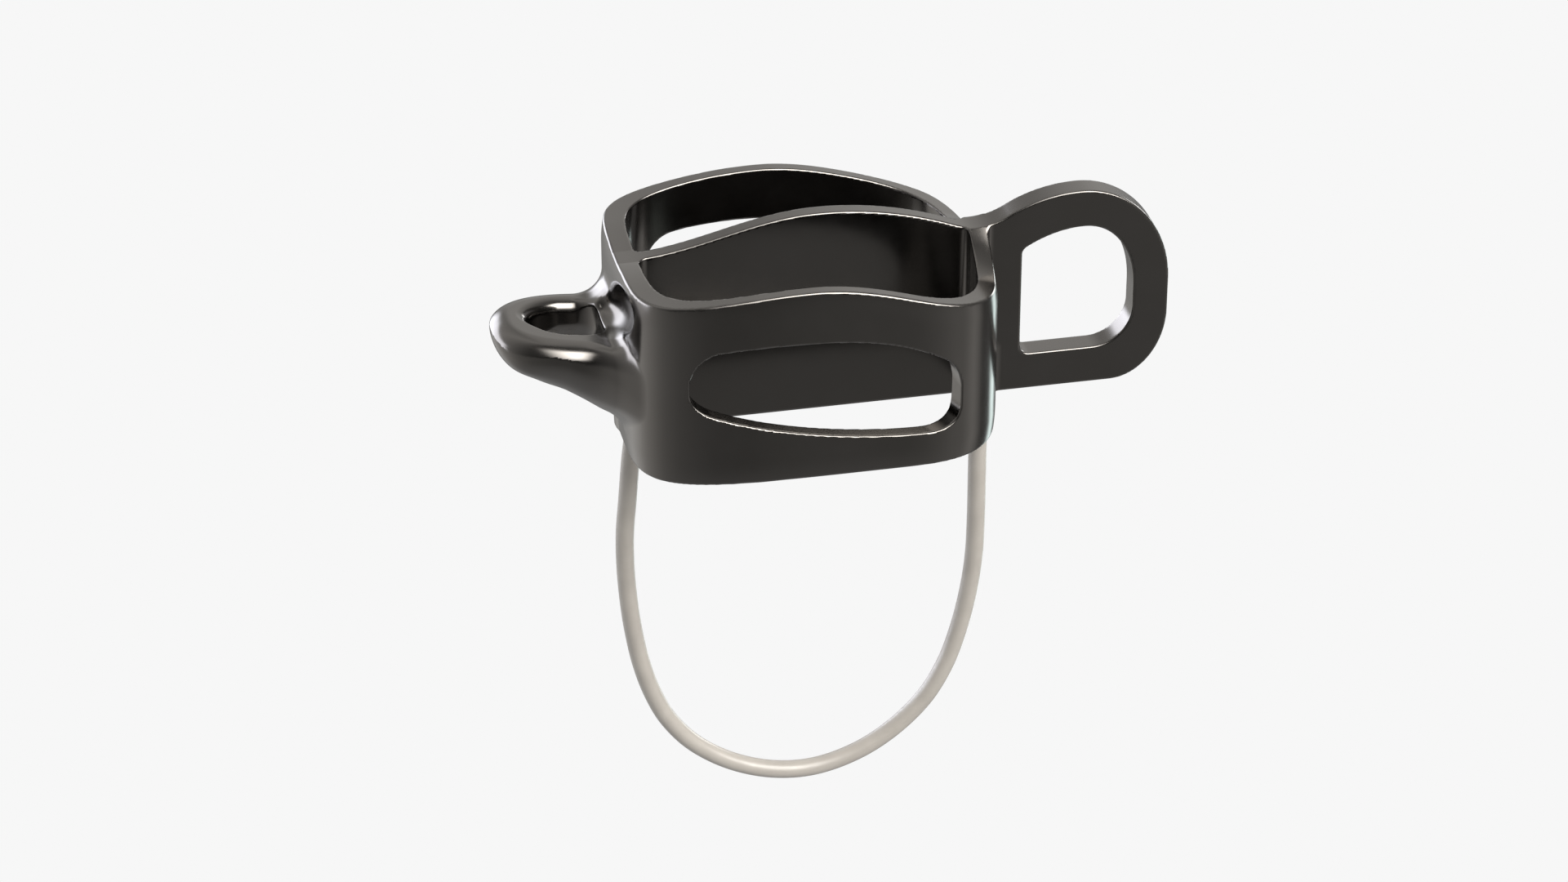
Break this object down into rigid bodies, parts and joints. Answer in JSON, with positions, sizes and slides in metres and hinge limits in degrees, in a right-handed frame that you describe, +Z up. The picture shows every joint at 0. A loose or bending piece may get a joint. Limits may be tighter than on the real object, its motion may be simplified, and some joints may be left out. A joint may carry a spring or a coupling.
{
  "type": "belay device",
  "caption": "Tube belay device with paired rope slots beside a divider, a plate with a guide eye, a release loop and a hanging keeper cable.",
  "frame": {"origin": "centre of the guide eye's hole, on the device's plane of symmetry", "axes": "+X from the tube towards the guide eye, +Y across the rope slots, +Z up through the slots towards the side where the rope goes in; the keeper cable hangs towards -Z"},
  "size_m": [0.0995, 0.0418, 0.0965],
  "materials": {
    "anodised_body": "polished, dark grey anodised",
    "ferrule_steel": "plain",
    "wire_rope": "galvanised strands",
    "cable_sheath": "smooth, semi-gloss"
  },
  "bodies": {
    "device": {"body": "anodised_body", "left_ferrule": "ferrule_steel", "right_ferrule": "ferrule_steel", "left_core_end": "wire_rope", "right_core_end": "wire_rope", "left_sheath_end": "cable_sheath", "right_sheath_end": "cable_sheath"},
    "keeper": {"keeper_core": "wire_rope", "keeper_sheath": "cable_sheath"}
  },
  "joints": [
    {"name": "keeper_swing", "type": "hinge", "parent": "device", "child": "keeper", "pos_m": [-0.04, 0, -0.0175], "axis": [1, 0, 0], "range_deg": [-60, 60], "stiffness_Nm_per_rad": 0.02}
  ]
}
